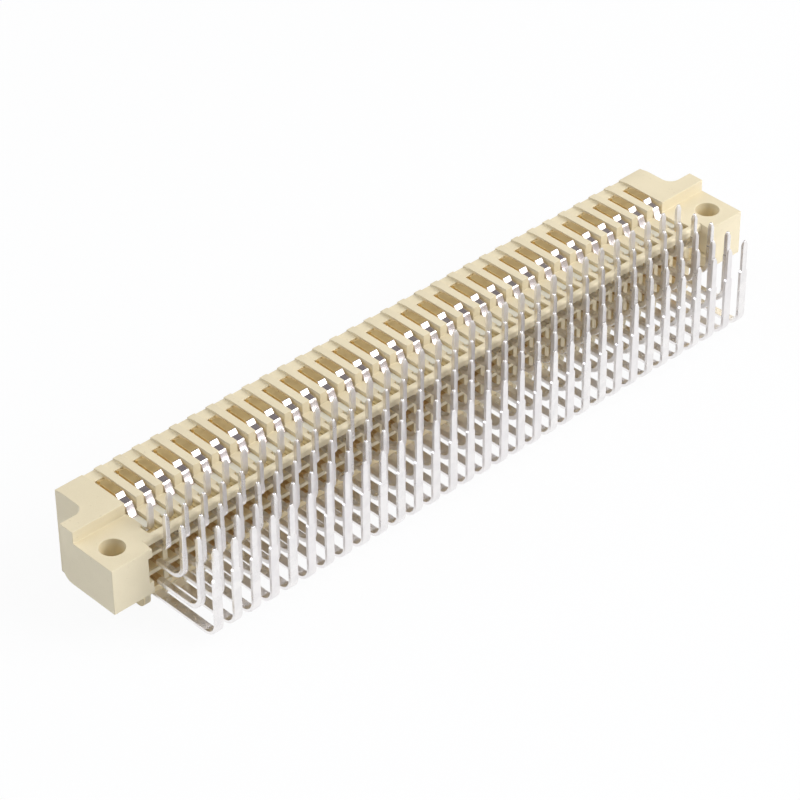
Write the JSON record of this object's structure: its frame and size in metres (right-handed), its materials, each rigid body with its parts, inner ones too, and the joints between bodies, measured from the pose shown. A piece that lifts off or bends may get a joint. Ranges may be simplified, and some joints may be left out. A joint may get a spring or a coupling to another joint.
{
  "type": "backplane connector",
  "caption": "Long right-angle board connector: a moulded shroud with flanged ears, rows of plated pins and blades, and tails bent up to solder into a circuit board.",
  "frame": {"origin": "midway between the two fixing holes, on the board seat", "axes": "+X along the contact rows, +Y towards the mating side, +Z out of the board seat along the tails"},
  "size_m": [0.094, 0.0204, 0.0128],
  "materials": {
    "moulding": "satin moulded",
    "upper_blades": "gold plated blades, tin plated tails",
    "pins": "gold plated pins, tin plated tails",
    "lower_blades": "gold plated blades, tin plated tails"
  },
  "bodies": {
    "root": {"housing": "moulding", "row_1_bank_1": "upper_blades", "row_1_bank_2": "upper_blades", "row_1_bank_3": "upper_blades", "row_1_bank_4": "upper_blades", "row_2_bank_1": "pins", "row_2_bank_2": "pins", "row_2_bank_3": "pins", "row_2_bank_4": "pins", "row_3_bank_1": "pins", "row_3_bank_2": "pins", "row_3_bank_3": "pins", "row_3_bank_4": "pins", "row_4_bank_1": "pins", "row_4_bank_2": "pins", "row_4_bank_3": "pins", "row_4_bank_4": "pins", "row_5_bank_1": "lower_blades", "row_5_bank_2": "lower_blades", "row_5_bank_3": "lower_blades", "row_5_bank_4": "lower_blades"}
  },
  "joints": []
}
